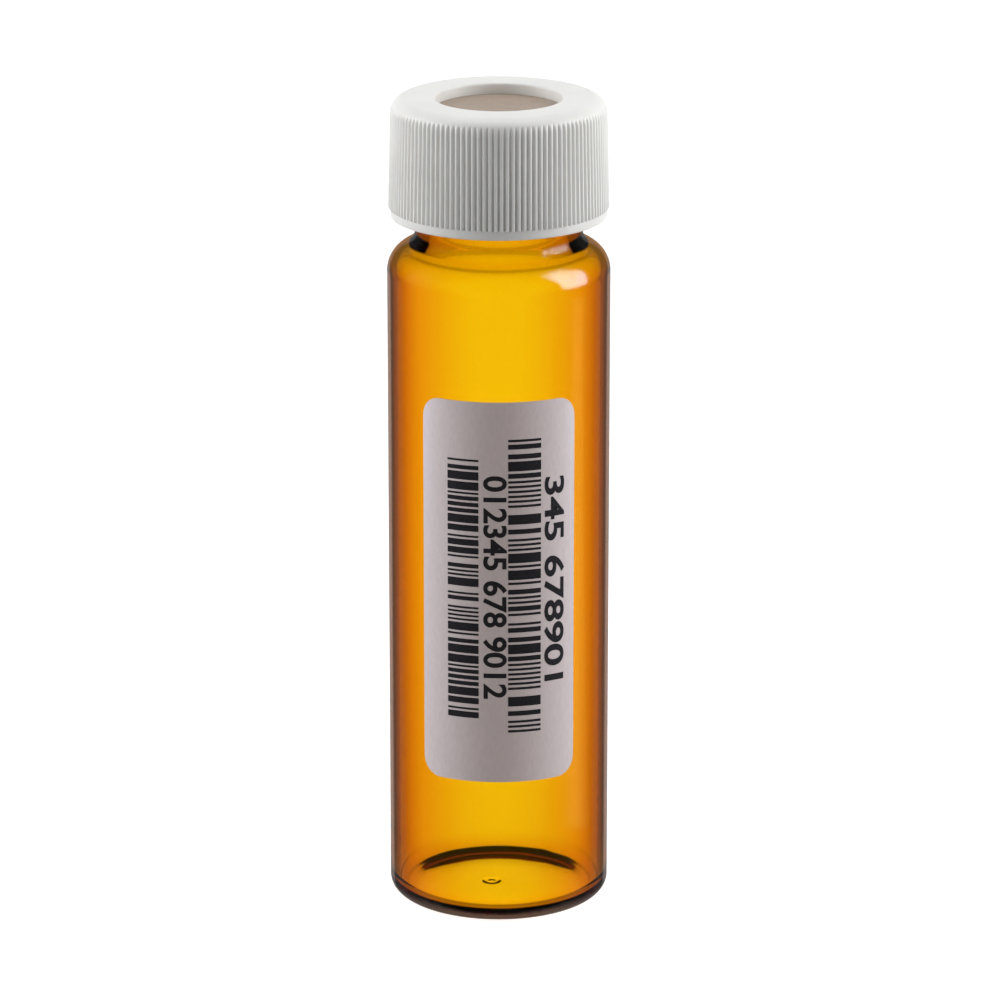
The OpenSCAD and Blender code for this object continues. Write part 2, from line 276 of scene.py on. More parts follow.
class Shell:
    """A turned surface, built up ring by ring. Its points keep the shares that are set when they are made."""

    def __init__(self, shares=None):
        self.points, self.faces = [], []
        self.shares = shares or {}
        self.kept_shares = {name: [] for name in self.shares}

    def point(self, x, y, z):
        """A new point. Returns its number."""
        self.points.append((x, y, z))
        for name, share in self.shares.items():
            self.kept_shares[name].append(share)
        return len(self.points) - 1

    def pole(self, height):
        """A point on the axis."""
        return self.point(0, 0, height)

    def ring(self, radius, height, sides):
        """A ring of points. Radius and height are numbers, or functions of the angle."""
        first = len(self.points)
        for i in range(sides):
            angle = TURN * i / sides
            r = radius(angle) if callable(radius) else radius
            z = height(angle) if callable(height) else height
            self.point(r * math.cos(angle), r * math.sin(angle), z)
        return range(first, first + sides)

    def skin(self, low, high):
        """Faces between two rings, or a ring and a pole. One ring may be a whole number of times finer."""
        if isinstance(low, int) or isinstance(high, int):
            pole, ring = (low, high) if isinstance(low, int) else (high, low)
            n = len(ring)
            self.faces += [(pole, ring[i], ring[(i + 1) % n]) for i in range(n)]
            return
        if len(low) == len(high):
            n = len(low)
            self.faces += [(low[i], low[(i + 1) % n], high[(i + 1) % n], high[i]) for i in range(n)]
            return
        fine, coarse = (low, high) if len(low) > len(high) else (high, low)
        step = len(fine) // len(coarse)
        for i in range(len(fine)):
            j = i // step
            self.faces.append((fine[i], fine[(i + 1) % len(fine)], coarse[j]))
            if (i + 1) % step == 0:
                self.faces.append((fine[(i + 1) % len(fine)], coarse[(j + 1) % len(coarse)], coarse[j]))

    def skins(self, rings):
        """Faces from each ring to the next."""
        for low, high in zip(rings, rings[1:]):
            self.skin(low, high)

    def piece(self, name, material, sharp):
        """The surface as an object, with each kind of share as an attribute of its mesh."""
        made = piece(name, self.points, self.faces, material, sharp)
        for share_name, shares in self.kept_shares.items():
            made.data.attributes.new(share_name, "FLOAT", "POINT").data.foreach_set("value", shares)
        return made


def piece(name, points, faces, material, sharp):
    """A mesh object with outward normals. Its edges show where they turn by more than sharp degrees."""
    mesh = bpy.data.meshes.new(name)
    mesh.from_pydata(points, [], faces)
    work = bmesh.new()
    work.from_mesh(mesh)
    bmesh.ops.recalc_face_normals(work, faces=work.faces)
    work.to_mesh(mesh)
    work.free()
    mesh.shade_smooth()
    mesh.set_sharp_from_angle(angle=math.radians(sharp))
    mesh.materials.append(material)
    made = bpy.data.objects.new(name, mesh)
    bpy.context.scene.collection.objects.link(made)
    return made


def fit(made, body, node=None):
    """Puts a piece on its body, in place of its CAD node."""
    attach(made, body)
    if node:
        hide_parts(node)


def thread_rise(angle, height, low, pitch, turns, start, root, crest):
    """How much of its full height a thread reaches at an angle and height. Its ends rise from the wall."""
    run_out = math.radians(40)
    last = turns * TURN
    best = 0.0
    wound = (angle - start) % TURN
    while wound <= last:
        away = abs(height - low - pitch * wound / TURN)
        flank = (root / 2 - away) / ((root - crest) / 2)
        rise = smooth(flank) if flank < 1 else 1.0
        best = max(best, rise * smooth(min(wound, last - wound) / run_out))
        wound += TURN
    return best


# ---------------------------------------------------------------- materials


class Tree:
    """The nodes of a material, a lamp or the surround."""

    def __init__(self, owner):
        owner.use_nodes = True
        self.nodes = owner.node_tree.nodes
        self.links = owner.node_tree.links

    def feed(self, node, inputs):
        """Gives a node's inputs, by name or number, a value or another node's socket."""
        for name, value in inputs.items():
            if isinstance(value, bpy.types.NodeSocket):
                self.links.new(value, node.inputs[name])
            else:
                node.inputs[name].default_value = value

    def add(self, kind, inputs=None):
        """A new node of a kind."""
        node = self.nodes.new("ShaderNode" + kind)
        self.feed(node, inputs or {})
        return node

    def maths(self, operation, first, second):
        """A Math node's result. Each of its two inputs is a socket or a number."""
        node = self.add("Math", {0: first, 1: second})
        node.operation = operation
        return node.outputs[0]

    def share(self, name):
        """A share that is kept in the mesh."""
        node = self.add("Attribute")
        node.attribute_name = name
        return node.outputs["Fac"]

    def ramp(self, source, stops):
        """A colour that follows a value. Each stop is a position and a colour."""
        node = self.add("ValToRGB", {"Fac": source})
        elements = node.color_ramp.elements
        while len(elements) < len(stops):
            elements.new(0.5)
        for element, (position, colour) in zip(elements, stops):
            element.position = position
            element.color = (*colour[:3], 1)
        return node.outputs["Color"]

    def mottle(self, source, colour, stops):
        """A colour that wavers with a value. Each stop is a position and a factor for the colour."""
        return self.ramp(source, [(position, shade(colour, factor)) for position, factor in stops])

    def tinge(self, share, colour):
        """White, or a colour where the share is 1."""
        node = self.add("Mix")
        node.data_type = "RGBA"
        self.feed(node, {"Factor": share, "A": WHITE, "B": colour})
        return node.outputs["Result"]

    def blend(self, share, first, second):
        """The first shader, or the second where the share is 1."""
        return self.add("MixShader", {"Fac": share, 1: first, 2: second}).outputs["Shader"]

    def grain(self, scale, detail, stretch=(1, 1, 1)):
        """Noise in the object's own space, stretched along its axes. Scale is in waves to the metre."""
        place = self.add("TexCoord").outputs["Object"]
        spread = self.add("Mapping", {"Scale": stretch, "Vector": place}).outputs["Vector"]
        return self.add("TexNoise", {"Scale": scale, "Detail": detail, "Vector": spread}).outputs["Fac"]

    def relief(self, shader, source, height):
        """Gives a shader surface relief, up to a height in metres."""
        bump = self.add("Bump", {"Strength": 1.0, "Distance": height, "Height": source})
        self.feed(shader, {"Normal": bump.outputs["Normal"]})


def new_material(name):
    """A material, its nodes and its Principled shader."""
    material = bpy.data.materials.new(name)
    tree = Tree(material)
    return material, tree, tree.nodes["Principled BSDF"]


def shade(colour, factor):
    """A colour made darker or lighter."""
    return tuple(min(1.0, c * factor) for c in colour[:3])


def greys(stops):
    """Ramp stops for a plain value. Each stop is a position and the value."""
    return [(position, (value, value, value)) for position, value in stops]


def shaded_outer_skin(tree):
    """The glass as the air meets it, with painted shade that darkens it towards its edges.

    Returns the shader that bends light, the one that mirrors a little of it, and the blend of the two.
    """
    outside, heel = tree.share(SHADED_OUTER_SKIN), tree.share(HEEL_SKIN)
    facing = tree.add("LayerWeight", {"Blend": 0.5}).outputs["Facing"]
    # Painted shade: the colour of the bent light darkens towards the glass's edges
    edge_shade_colour = tree.tinge(outside, tree.ramp(facing, EDGE_SHADE))
    heel_colour = tree.tinge(heel, tree.ramp(facing, HEEL_HUE))
    bent = tree.add("BsdfRefraction", {"Roughness": 0.0, "IOR": GLASS_IOR, "Color": edge_shade_colour})
    mirror = tree.add("BsdfAnisotropic", {"Roughness": 0.01, "Color": heel_colour})
    edge_share = tree.maths("MULTIPLY", tree.ramp(facing, greys(EDGE_GLOSS)), outside)
    heel_share = tree.maths("MULTIPLY", tree.ramp(facing, greys(HEEL_GLOSS)), heel)
    mirrored = tree.maths("ADD", edge_share, heel_share)
    return bent, mirror, tree.blend(mirrored, bent.outputs["BSDF"], mirror.outputs["BSDF"])


def amber_glass(settings):
    """Clear amber glass with a slight ripple. Part of the light goes on through its shadow.

    The air meets its outer skin, with painted shade towards its edges. From within, the Principled shader
    mirrors light in part or in full.
    """
    material, tree, shader = new_material("amber_glass")
    tree.feed(shader, {"Roughness": 0.0, "IOR": GLASS_IOR, "Transmission Weight": 1.0})
    bent, mirror, skin = shaded_outer_skin(tree)
    ripple = tree.grain(60, 1.0, (1, 1, 6))
    for finish in (shader, bent, mirror):
        tree.relief(finish, ripple, 0.02 * MM)
    from_within = tree.add("NewGeometry").outputs["Backfacing"]
    glass = tree.blend(from_within, skin, shader.outputs["BSDF"])
    shadow = tree.add("LightPath").outputs["Is Shadow Ray"]
    clear = tree.add("BsdfTransparent", {"Color": (0.86, 0.83, 0.78, 1)}).outputs["BSDF"]
    absorb = tree.add("VolumeAbsorption", {"Color": (*settings.amber, 1), "Density": settings.depth})
    out = tree.nodes["Material Output"]
    tree.feed(out, {"Surface": tree.blend(shadow, glass, clear), "Volume": absorb.outputs["Volume"]})
    return material


def moulded_white(settings):
    """Satin white polypropylene with the faint grain of a mould."""
    material, tree, shader = new_material("moulded_white")
    colour = tree.mottle(tree.grain(180, 4.0), settings.white, [(0.35, 0.975), (0.65, 1.01)])
    tree.feed(shader, {"Base Color": colour, "Roughness": 0.38})
    tree.feed(shader, {
        "Subsurface Weight": 0.25, "Subsurface Radius": (1.0, 0.9, 0.8), "Subsurface Scale": 1 * MM,
    })
    tree.relief(shader, tree.grain(5000, 2.0), 0.006 * MM)
    return material


def silicone(settings):
    """Matt beige rubber, slightly mottled."""
    material, tree, shader = new_material("silicone")
    cloud = tree.grain(700, 5.0)
    colour = tree.mottle(cloud, settings.beige, [(0.3, 0.93), (0.7, 1.05)])
    tree.feed(shader, {"Base Color": colour, "Roughness": 0.55})
    tree.relief(shader, cloud, 0.01 * MM)
    return material


def label_film(settings):
    """Satin film with a fine grain."""
    material, tree, shader = new_material("label_film")
    fine = tree.grain(2600, 4.0, (1, 1, 0.4))
    colour = tree.mottle(fine, settings.film, [(0.3, 0.95), (0.7, 1.04)])
    tree.feed(shader, {"Base Color": colour, "Roughness": 0.32, "Specular IOR Level": 0.8})
    tree.relief(shader, fine, 0.004 * MM)
    return material


def print_ink(settings):
    """Near-black print with a little mottle, which hardly mirrors and so stays black in a white surround."""
    material, tree, shader = new_material("print_ink")
    colour = tree.mottle(tree.grain(9000, 2.0), settings.ink, [(0.35, 1.0), (0.75, 2.5)])
    tree.feed(shader, {"Base Color": colour, "Roughness": 0.5, "Specular IOR Level": 0.04})
    return material


def seen_level(tree, plain, direct, through):
    """How bright a backdrop is: for other light, as it is seen or mirrored, and through glass.

    Also returns the share that is kept of light that has turned back within the glass, which is 1 for all
    other light, and the colour that goes with it. Both paint shade onto what that light shows.
    """
    path = tree.add("LightPath")
    bent = path.outputs["Is Transmission Ray"]
    mirrored = tree.maths("SUBTRACT", path.outputs["Is Glossy Ray"], bent)
    seen = tree.maths("MAXIMUM", path.outputs["Is Camera Ray"], mirrored)
    shown = tree.maths("MULTIPLY", seen, direct - plain)
    added = tree.maths("MULTIPLY", bent, tree.maths("SUBTRACT", through, plain))
    level = tree.maths("ADD", tree.maths("ADD", shown, added), plain)
    # Painted shade: light that turned back within the glass sees this backdrop darker, and redder after many
    # walls
    turned = tree.maths("GREATER_THAN", path.outputs["Glossy Depth"], 0.5)
    deep = tree.maths("GREATER_THAN", path.outputs["Transmission Depth"], 3.5)
    share = tree.maths("ADD", TURNED_SHADE, tree.maths("MULTIPLY", deep, DEEP_SHADE))
    painted_shade = tree.maths("MULTIPLY", tree.maths("MULTIPLY", turned, bent), share)
    kept = tree.maths("SUBTRACT", 1.0, painted_shade)
    return tree.maths("MULTIPLY", level, kept), kept, tree.ramp(kept, [(0.2, TURNED_SHADE_HUE), (0.4, WHITE)])


def floor_material(settings):
    """Plain pale floor that takes the shadow, lifted to white where it is seen and more so through glass.

    Through glass it has painted shade near the vial and painted light under its base.
    """
    material, tree, shader = new_material("pale_floor")
    tree.nodes.remove(shader)
    measure = tree.add("VectorMath", {0: tree.add("TexCoord").outputs["Object"]})
    measure.operation = "LENGTH"
    away = measure.outputs["Value"]
    # Painted shade near the vial and painted light under its base, on the floor as glass shows it
    near = tree.maths("SUBTRACT", 1.0, tree.maths("DIVIDE", away, NEAR_SHADE_REACH))
    near_shade = tree.maths("MULTIPLY", tree.maths("MAXIMUM", near, 0.0), settings.floor_near_shade)
    rise = tree.maths("MULTIPLY", tree.maths("LESS_THAN", away, BASE_LIGHT_REACH), settings.floor_base_light)
    through = tree.maths("ADD", tree.maths("SUBTRACT", rise, near_shade), settings.floor_glow_glass)
    level, kept, shade_hue = seen_level(tree, 0.0, settings.floor_glow, through)
    # Painted shade: for such light the floor's own colour fades to black
    matt = tree.add("BsdfDiffuse", {"Color": tree.ramp(kept, [(0.0, BLACK), (1.0, settings.floor)])})
    glow = tree.add("Emission", {"Strength": level, "Color": shade_hue})
    both = tree.add("AddShader", {0: matt.outputs["BSDF"], 1: glow.outputs["Emission"]})
    tree.feed(tree.nodes["Material Output"], {"Surface": both.outputs["Shader"]})
    return material


# ---------------------------------------------------------------- glass


def shoulder_line(cone, wall, wall_round, side, side_round, depth):
    """The shoulder from a wall up to a neck or bore: a cone between two rounds, a depth under the outer cone.

    The cone is given by its slope and by the height at which it would meet the axis.
    """
    slope, tip = cone
    turn = math.pi / 2 - slope

    def height(radius):
        return tip - radius * math.tan(slope) - depth / math.cos(slope)

    low = wall - wall_round
    low_z = height(low + wall_round * math.cos(turn)) - wall_round * math.sin(turn)
    high = side + side_round
    high_z = height(high - side_round * math.cos(turn)) + side_round * math.sin(turn)
    degrees = math.degrees(turn)
    first = arc((low, low_z), wall_round, 0, degrees, 22)
    last = arc((high, high_z), side_round, 180 + degrees, 180, 16)
    return first + line(first[-1], last[0], 3)[:-1] + last


def dome(radius, height, rise, radii):
    """A shallow dome at the given radii, level in the middle and steepest where it ends, at radius."""
    return [(r, height + rise * (1 - (r / radius) ** 4)) for r in radii]


def glass_sections(glass):
    """The outside and inside lines of the glass, each from the axis up to the rim."""
    body = GLASS_BOX[1][0]
    top = GLASS_BOX[1][2]
    inner = body - glass.wall
    neck = glass.neck_diameter / 2
    bore = neck - glass.neck_wall
    foot_out = body - glass.heel
    foot_in = foot_out - glass.foot
    turn = math.pi / 2 - glass.slope
    cone_end = neck + glass.neck_foot * (1 - math.cos(turn))
    cone_end_z = top - glass.neck_height - glass.neck_foot * math.sin(turn)
    cone = (glass.slope, cone_end_z + cone_end * math.tan(glass.slope))
    mark_end = glass.mark_offset + glass.mark_diameter / 2 + 0.3 * MM
    radii = spaced(0, mark_end, 24) + spaced(mark_end, foot_in, 12)
    outside = dome(foot_in, 0, glass.push_up, radii)
    outside += line((foot_in, 0), (foot_out, 0), 3)[:-1]
    outside += arc((foot_out, glass.heel), glass.heel, -90, 0, 14)
    shoulder = shoulder_line(cone, body, glass.shoulder, neck, glass.neck_foot, 0)
    outside += line((body, glass.heel), shoulder[0], 12)[:-1] + shoulder
    neck_top = top - glass.rim
    outside += line(outside[-1], (neck, neck_top), 96)
    outside += arc((neck - glass.rim, neck_top), glass.rim, 0, 90, 6)[1:]
    floor = inner - glass.floor_corner * (1 - math.sin(glass.floor_rise))
    bowl = math.tan(glass.floor_rise) * floor / 4
    middle = glass.base + glass.push_up
    inside = dome(floor, middle + bowl, -bowl, spaced(0, floor, 24))
    corner = (inner - glass.floor_corner, middle + bowl + glass.floor_corner * math.cos(glass.floor_rise))
    inside += arc(corner, glass.floor_corner, -90 + math.degrees(glass.floor_rise), 0, 14)[1:]
    shoulder = shoulder_line(cone, inner, glass.shoulder - glass.wall, bore, glass.lip, glass.wall)
    inside += line(inside[-1], shoulder[0], 12)[:-1] + shoulder
    inside += line(inside[-1], (bore, neck_top), 8)
    inside += arc((bore + glass.rim, neck_top), glass.rim, 180, 90, 6)[1:]
    return outside, inside, top


def skin_shares(glass, z, top):
    """How much of the painted edge shade and of the heel's gloss the outer skin has at a height."""
    on_heel = smooth(HEEL_SHADE_END - z / glass.heel)
    on_shoulder = smooth((z - (top - glass.neck_height - FALL_DEPTH)) / FALL_HEIGHT)
    gloss = smooth(HEEL_GLOSS_END - z / glass.heel)
    return {SHADED_OUTER_SKIN: 1 - EDGE_SHADE_FALL * (on_heel + on_shoulder), HEEL_SKIN: gloss}


def build_glass(glass):
    """The glass as one closed surface, with the thread raised on its neck and the mark under its base."""
    sides = 256
    outside, inside, top = glass_sections(glass)
    neck = glass.neck_diameter / 2
    thread_low = top - glass.thread_drop - glass.thread_turns * glass.pitch
    shell = Shell({SHADED_OUTER_SKIN: 1.0, HEEL_SKIN: 0.0})

    def marked(z, x, y):
        """The height of the underside, lowered in a ring round the middle of the mark."""
        away = math.hypot(x + glass.mark_offset, y)
        return z - glass.mark_height * max(0.0, 1 - (4 * away / glass.mark_diameter - 1) ** 2)

    def outer_ring(r, z):
        """A ring of the outside, which has the thread on the neck and the mark under the base."""
        threaded = abs(r - neck) < SAME_PLACE and z > thread_low - glass.pitch
        under = z < glass.heel / 2

        def radius(angle):
            if not threaded:
                return r
            return r + glass.thread_height * thread_rise(
                angle, z, thread_low, glass.pitch, glass.thread_turns, 0, glass.thread_root,
                glass.thread_crest,
            )

        def height(angle):
            return marked(z, r * math.cos(angle), r * math.sin(angle)) if under else z

        return shell.ring(radius, height, sides)

    rings = [shell.pole(marked(glass.push_up, 0, 0))]
    for r, z in outside:
        shell.shares = skin_shares(glass, z, top)
        rings.append(outer_ring(r, z))
    shell.shares = {SHADED_OUTER_SKIN: 0.0, HEEL_SKIN: 0.0}
    rings += [shell.ring(r, z, sides) for r, z in reversed(inside)]
    rings.append(shell.pole(glass.base + glass.push_up))
    shell.skins(rings)
    return shell.piece("glass_body", amber_glass(glass), 60)


# ---------------------------------------------------------------- cap


def cap_bore(cap, glass):
    """Radius of the bore in the skirt, which clears the glass thread."""
    return glass.neck_diameter / 2 + glass.thread_height + cap.crest_gap


def cap_outside(cap, glass, shell, sides):
    """Rings of the outside, from the foot up to the flat top: a plain band, the ribs and the shoulder."""
    foot, top = CAP_BOX[0][2], CAP_BOX[1][2]
    groove = cap_bore(cap, glass) + cap.skirt_wall
    band = groove + cap.band_proud
    low_crest, high_crest = groove + cap.rib_low, groove + cap.rib_high
    rib_foot = foot + cap.band
    shoulder = (high_crest - cap.shoulder, top - cap.shoulder)

    def ribbed(crest):
        """Radius round the cap, with round crests that reach the given radius and narrow valleys."""
        depth = max(0.0, crest - groove)

        def radius(angle):
            across = (angle * cap.ribs / TURN) % 1
            return min(crest, groove) + depth * min(1.0, 1.04 * math.sin(math.pi * across) ** 0.75)

        return radius

    foot_edge, rib_edge = 0.25 * MM, 0.06 * MM
    band_edge_in, band_edge_down = 0.04 * MM, 0.05 * MM
    plain = [(band - foot_edge, foot)]
    plain += arc((band - foot_edge, foot + foot_edge), foot_edge, -60, 0, 4)
    plain += [(band, rib_foot - band_edge_down), (band - band_edge_in, rib_foot)]
    rings = [shell.ring(r, z, sides) for r, z in plain]
    rings.append(shell.ring(ribbed(low_crest - rib_edge), rib_foot, sides))
    rib_start = rib_foot + rib_edge
    for z in [rib_start, *spaced(rib_start, shoulder[1], 10)]:
        share = (z - rib_foot) / (shoulder[1] - rib_foot)
        rings.append(shell.ring(ribbed(low_crest + (high_crest - low_crest) * share), z, sides))
    rings += [shell.ring(ribbed(r), z, sides) for r, z in arc(shoulder, cap.shoulder, 0, 90, 18)[1:]]
    return rings


def cap_thread(cap, glass, mouth):
    """A function that gives the radius round the bore at a height, less the thread that stands in it.

    The thread runs between the turns of the glass thread, raised until the flank gap is left under them.
    """
    bore = cap_bore(cap, glass)
    slope = (glass.thread_root - glass.thread_crest) / 2 / glass.thread_height
    ridge = bore - glass.neck_diameter / 2 - cap.cap_crest_gap
    root = cap.thread_crest + 2 * slope * ridge
    glass_low = GLASS_BOX[1][2] - glass.thread_drop - glass.thread_turns * glass.pitch
    space = glass.pitch / 2 - glass.thread_root / 2 + slope * cap.cap_crest_gap
    lift = space - cap.thread_crest / 2 - cap.flank_gap * math.hypot(1, slope)
    above_mouth = 0.4 * MM
    low = mouth + above_mouth + root / 2
    start = (low - (glass_low - glass.pitch / 2 + lift)) * TURN / glass.pitch % TURN

    def threaded(z):
        def radius(angle):
            return bore - ridge * thread_rise(
                angle, z, low, glass.pitch, cap.thread_turns, start, root, cap.thread_crest
            )

        return radius

    return threaded


def cap_inside(cap, glass, shell, sides):
    """Rings of the inside, from the flat top down to the foot: hole, septum seat, thread and mouth."""
    foot, top = CAP_BOX[0][2], CAP_BOX[1][2]
    seat, rim = SEPTUM_BOX[1][2], GLASS_BOX[1][2]
    bore = cap_bore(cap, glass)
    hole = cap.hole_diameter / 2
    flat_end = bore + cap.skirt_wall + cap.rib_high - cap.shoulder
    seat_radius = bore - cap.seat_step
    seat_foot = rim - 0.3 * MM
    mouth_edge = 0.4 * MM
    plain = [((hole + cap.hole_edge + flat_end) / 2, top)]
    plain += arc((hole + cap.hole_edge, top - cap.hole_edge), cap.hole_edge, 90, 180, 6)
    plain += [(hole, seat), (seat_radius, seat), (seat_radius, seat_foot), (bore, seat_foot - cap.seat_step)]
    rings = [shell.ring(r, z, sides) for r, z in plain]
    mouth = foot + mouth_edge
    threaded = cap_thread(cap, glass, mouth)
    rings += [shell.ring(threaded(z), z, sides) for z in spaced(plain[-1][1], mouth, 56)]
    rings.append(shell.ring(bore + mouth_edge, foot, sides))
    return rings


def build_cap(cap, glass):
    """The cap as one closed surface: ribs outside, thread and septum seat inside."""
    points_per_rib = 8
    sides = cap.ribs * points_per_rib
    shell = Shell()
    rings = cap_outside(cap, glass, shell, sides)
    rings += cap_inside(cap, glass, shell, sides // 4)
    shell.skins(rings + rings[:1])
    return shell.piece("screw_cap_shell", moulded_white(cap), 35)


# ---------------------------------------------------------------- septum and label


def build_septum(septum):
    """The septum: a flat disc with softened edges."""
    sides = 128
    low, high, radius = SEPTUM_BOX[0][2], SEPTUM_BOX[1][2], SEPTUM_BOX[1][0]
    shell = Shell()
    section = [(radius * 0.5, low)]
    section += arc((radius - septum.edge, low + septum.edge), septum.edge, -90, 0, 5)
    section += arc((radius - septum.edge, high - septum.edge), septum.edge, 0, 90, 5)
    section += [(radius * 0.5, high)]
    rings = [shell.pole(low)] + [shell.ring(r, z, sides) for r, z in section] + [shell.pole(high)]
    shell.skins(rings)
    return shell.piece("septum_disc", silicone(septum), 40)


def on_glass(along, height, radius):
    """A point on the label's cylinder. along is measured round the glass from the middle of the label."""
    angle = along / radius
    return (radius * math.sin(angle), -radius * math.cos(angle), height)


def curved_patch(columns, back, front):
    """Points and faces of a thin curved plate between two radii. Each column is (along, low, high)."""
    steps = 3
    points, faces = [], []
    for along, low, high in columns:
        for radius in (back, front):
            for i in range(steps + 1):
                points.append(on_glass(along, low + (high - low) * i / steps, radius))
    stride = 2 * (steps + 1)
    for c in range(len(columns) - 1):
        a, b = c * stride, (c + 1) * stride
        for side in (0, steps + 1):
            for i in range(steps):
                faces.append((a + side + i, b + side + i, b + side + i + 1, a + side + i + 1))
        for i in (0, steps):
            faces.append((a + i, b + i, b + steps + 1 + i, a + steps + 1 + i))
    for a in (0, (len(columns) - 1) * stride):
        for i in range(steps):
            faces.append((a + i, a + i + 1, a + steps + 2 + i, a + steps + 1 + i))
    return points, faces


def label_radii(label):
    """Radius of the glass, of the film's face and of the ink's face."""
    outside = -LABEL_BOX[0][1]
    glass = GLASS_BOX[1][0]
    return glass, outside - label.ink_thickness, outside


def label_half_width():
    """Half the label's width, measured round the glass."""
    radius = -LABEL_BOX[0][1]
    return radius * math.asin(LABEL_BOX[1][0] / radius)


def build_label(label):
    """The film: a thin curved plate with round corners, a hair off the glass."""
    glass, face, _ink = label_radii(label)
    half, low, high = label_half_width(), LABEL_BOX[0][2], LABEL_BOX[1][2]
    corner = [label.corner * (1 - math.cos(math.radians(a))) for a in range(0, 91, 9)]
    left = [-half + c for c in corner]
    middle = [left[-1] + (half - label.corner) * 2 * i / 24 for i in range(1, 24)]
    columns = []
    for along in left + middle + [-a for a in reversed(left)]:
        into = max(0.0, label.corner - (half - abs(along)))
        cut = label.corner - math.sqrt(max(0.0, label.corner ** 2 - into ** 2))
        columns.append((along, low + cut, high - cut))
    points, faces = curved_patch(columns, glass + CLEAR, face)
    return piece("label_film", points, faces, label_film(label), 40)


def bar_widths(count, seed):
    """Widths of bars and gaps by turns, from a simple rule that stands for no real code."""
    bars, gaps = (1, 2, 1, 4, 1, 2, 1, 3), (1, 1, 2, 1, 1, 3, 1, 1)
    widths = []
    value = seed
    for i in range(count):
        value = (value * 37 + 11) % 101
        choice = bars if i % 2 == 0 else gaps
        widths.append(choice[value % len(choice)])
    return widths


def joined(parts):
    """Points and faces of several parts as one."""
    points, faces = [], []
    for new_points, new_faces in parts:
        faces += [tuple(len(points) + k for k in face) for face in new_faces]
        points += new_points
    return points, faces


def bar_code(column, back, front, count, seed):
    """A column of bars, each a curved strip. They fill it from top to bottom."""
    widths = bar_widths(count, seed)
    module = (column.bottom - column.top) / sum(widths)
    height = LABEL_BOX[1][2] - column.top
    bars = []
    for i, width in enumerate(widths):
        if i % 2 == 0:
            low = height - width * module
            strips = [(column.left + column.width * c / 8, low, height) for c in range(9)]
            bars.append(curved_patch(strips, back, front))
        height -= width * module
    return joined(bars)


def numbers(text, column, back, front):
    """A row of numbers that reads downwards, bent onto the label. It fills its column from top to bottom."""
    curve = bpy.data.curves.new("numbers", "FONT")
    curve.body = text
    curve.size = column.width
    curve.offset = BOLDNESS * column.width
    curve.extrude = 0.5 * MM
    holder = bpy.data.objects.new("numbers", curve)
    bpy.context.scene.collection.objects.link(holder)
    bpy.context.view_layer.update()
    mesh = bpy.data.meshes.new_from_object(holder.evaluated_get(bpy.context.evaluated_depsgraph_get()))
    bpy.data.objects.remove(holder)
    work = bmesh.new()
    work.from_mesh(mesh)
    bpy.data.meshes.remove(mesh)
    bmesh.ops.remove_doubles(work, verts=work.verts, dist=SAME_PLACE)
    bmesh.ops.triangulate(work, faces=work.faces)
    xs = [v.co.x for v in work.verts]
    ys = [v.co.y for v in work.verts]
    low_x, low_y = min(xs), min(ys)
    cuts = 10
    for i in range(1, cuts):
        bmesh.ops.bisect_plane(
            work, geom=work.verts[:] + work.edges[:] + work.faces[:],
            plane_co=(0, low_y + (max(ys) - low_y) * i / cuts, 0), plane_no=(0, 1, 0), dist=SAME_PLACE,
        )
    top = LABEL_BOX[1][2] - column.top
    stretch = (column.bottom - column.top) / (max(xs) - low_x)
    work.verts.index_update()
    points = []
    for v in work.verts:
        radius = front if v.co.z > 0 else back
        points.append(on_glass(column.left + (v.co.y - low_y), top - (v.co.x - low_x) * stretch, radius))
    faces = [tuple(v.index for v in face.verts) for face in work.faces]
    work.free()
    return points, faces


def build_print(label):
    """The print: two columns of bars and two rows of plain numbers."""
    _glass, face, front = label_radii(label)
    back = face - SUNK
    points, faces = joined([
        bar_code(LEFT_BARS, back, front, count=73, seed=7),
        bar_code(RIGHT_BARS, back, front, count=81, seed=29),
        numbers(label.first_row, FIRST_ROW, back, front),
        numbers(label.second_row, SECOND_ROW, back, front),
    ])
    return piece("label_print", points, faces, print_ink(label), 30)


# ---------------------------------------------------------------- stage


def area_lamp(name, place, target, size, power, colour=(1, 1, 1), receivers=None):
    """A soft lamp that faces a point. It lights everything, or only its receivers. Its size is a pair."""
    data = bpy.data.lights.new(name, "AREA")
    data.shape = "RECTANGLE"
    data.size, data.size_y = size
    data.energy = power
    data.color = colour
    lamp = bpy.data.objects.new(name, data)
    lamp.location = place
    lamp.rotation_euler = (Vector(target) - Vector(place)).to_track_quat("-Z", "Y").to_euler()
    lamp.visible_transmission = False
    lamp.light_linking.receiver_collection = receivers
    bpy.context.scene.collection.objects.link(lamp)
    return lamp


def mirror_lamp(name, place, target, size, radiance, receivers, colour=(1, 1, 1)):
    """A lamp that shows only as the first mirrored highlight on its receivers."""
    power = radiance * math.pi * size[0] * size[1]
    lamp = area_lamp(name, place, target, size, power, colour, receivers)
    tree = Tree(lamp.data)
    path = tree.add("LightPath")
    first = tree.maths("LESS_THAN", path.outputs["Ray Depth"], 2.5)
    outside = tree.maths("LESS_THAN", path.outputs["Transmission Depth"], 0.5)
    tree.feed(tree.nodes["Emission"], {"Strength": tree.maths("MULTIPLY", first, outside)})
    lamp.visible_camera = False
    lamp.visible_diffuse = False
    lamp.visible_volume_scatter = False
    return lamp


def lit_alone(name, *pieces):
    """A collection of the pieces that a lamp lights alone."""
    collection = bpy.data.collections.new(name)
    for piece_name in pieces:
        collection.objects.link(bpy.data.objects[piece_name])
    return collection


